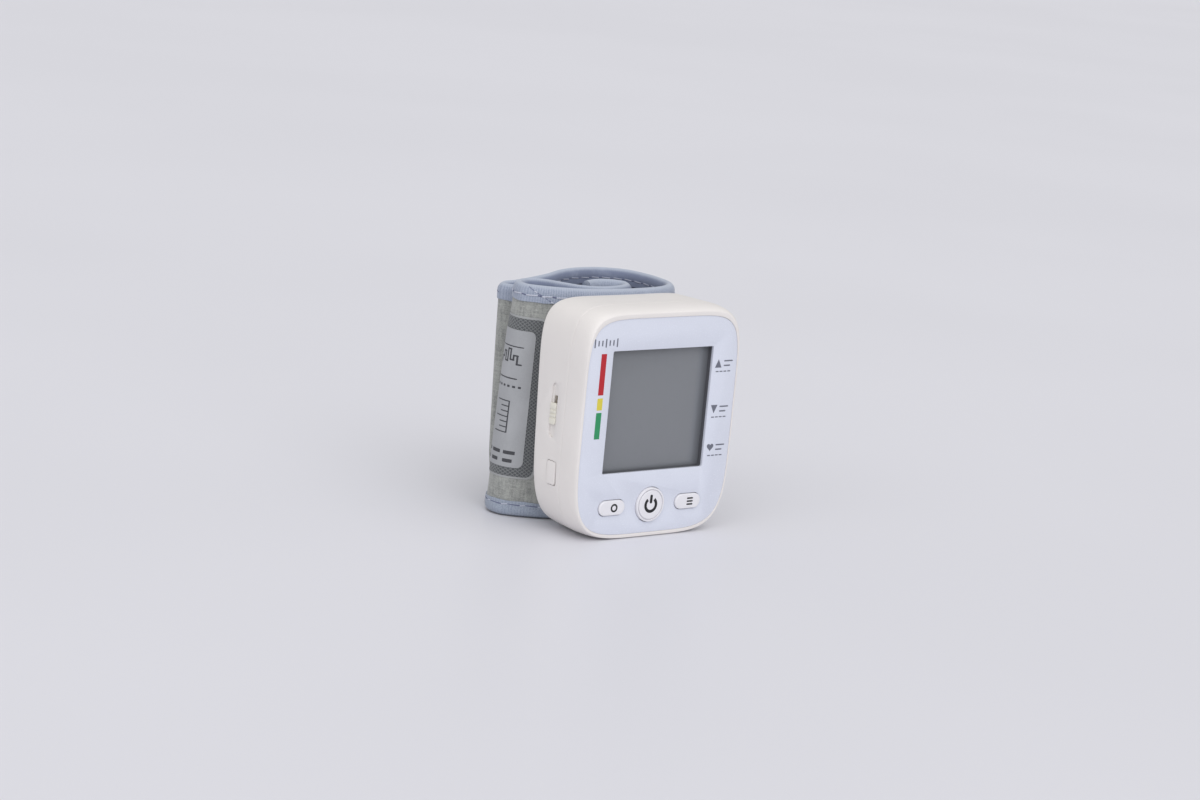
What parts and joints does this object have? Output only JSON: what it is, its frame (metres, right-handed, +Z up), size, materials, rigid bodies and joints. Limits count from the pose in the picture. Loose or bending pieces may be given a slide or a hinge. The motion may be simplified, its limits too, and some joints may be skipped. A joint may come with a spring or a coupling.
{
  "type": "wrist blood pressure monitor",
  "caption": "Squared plastic wrist monitor with a large display, a round and two oval buttons, a side slide switch, and a fabric cuff rolled up behind it.",
  "frame": {"origin": "middle of the overall box, at the height of the surface that it stands on", "axes": "-Y is where the display looks, +Z up, +X to the right of one who faces the display"},
  "size_m": [0.0608, 0.0616, 0.0714],
  "materials": {
    "white_plastic": "fine satin, off-white",
    "button_plastic": "satin white",
    "face_panel": "smooth pale blue",
    "display": "smooth grey",
    "dark_frame": "matt black",
    "circuit_board": "green solder mask",
    "black_component": "matt black",
    "beige_plastic": "matt beige",
    "bare_metal": "plated",
    "spring_metal": "plated",
    "cell_jacket": "printed sleeve, plain",
    "silicone": "soft, translucent white",
    "natural_plastic": "plain white",
    "bladder_rubber": "matt dark grey",
    "loop_fabric": "fine grey loop pile",
    "inner_fabric": "smooth blue-grey",
    "binding_tape": "ribbed periwinkle tape",
    "mesh_fabric": "dark open mesh",
    "satin_label": "light grey satin"
  },
  "bodies": {
    "monitor": {"front_housing": "white_plastic", "rear_housing": "white_plastic", "housing_screw_1": "bare_metal", "housing_screw_2": "bare_metal", "housing_screw_3": "bare_metal", "housing_screw_4": "bare_metal", "face_panel": "face_panel", "display_glass": "display", "display_frame": "dark_frame", "display_contact_strip": "black_component", "power_push_switch": "black_component", "left_push_switch": "black_component", "right_push_switch": "black_component", "slide_switch_body": "beige_plastic", "power_socket": "bare_metal", "main_board": "circuit_board", "processor_chip": "black_component", "buzzer": "black_component", "battery_cell_near": "cell_jacket", "battery_cell_far": "cell_jacket", "battery_contact_near": "spring_metal", "battery_contact_far": "spring_metal", "battery_link_plate": "spring_metal", "pump_motor": "bare_metal", "pump_head": "black_component", "air_manifold": "natural_plastic", "air_tube_pump": "silicone", "air_tube_valve": "silicone", "air_tube_sensor": "silicone", "air_valve": "bare_metal", "pressure_sensor": "black_component", "outlet_bush": "silicone", "cuff_outer_fabric": "loop_fabric", "cuff_inner_fabric": "inner_fabric", "cuff_top_binding": "binding_tape", "cuff_bottom_binding": "binding_tape", "curler_sheet": "natural_plastic", "air_bladder": "bladder_rubber", "cuff_mesh_field": "mesh_fabric", "cuff_label": "satin_label"},
    "power_button": {"power_button": "button_plastic"},
    "left_button": {"left_button": "button_plastic"},
    "right_button": {"right_button": "button_plastic"},
    "slide_switch_knob": {"slide_switch_knob": "button_plastic"},
    "port_cover": {"port_cover": "white_plastic"},
    "battery_door": {"battery_door": "white_plastic"}
  },
  "joints": [
    {"name": "power_button_press", "type": "slide", "parent": "monitor", "child": "power_button", "axis": [0, 1, 0], "range_m": [0, 0.0005], "stiffness_N_per_m": 1500},
    {"name": "left_button_press", "type": "slide", "parent": "monitor", "child": "left_button", "axis": [0, 1, 0], "range_m": [0, 0.0005], "stiffness_N_per_m": 1500},
    {"name": "right_button_press", "type": "slide", "parent": "monitor", "child": "right_button", "axis": [0, 1, 0], "range_m": [0, 0.0005], "stiffness_N_per_m": 1500},
    {"name": "slide_switch_slide", "type": "slide", "parent": "monitor", "child": "slide_switch_knob", "axis": [0, 0, 1], "range_m": [0, 0.0022]},
    {"name": "port_cover_hinge", "type": "hinge", "parent": "monitor", "child": "port_cover", "pos_m": [-0.03017, -0.0162, 0.0191], "axis": [0, 0, -1], "range_deg": [0, 80]},
    {"name": "battery_door_slide", "type": "slide", "parent": "monitor", "child": "battery_door", "axis": [1, 0, 0], "range_m": [0, 0.01]}
  ]
}
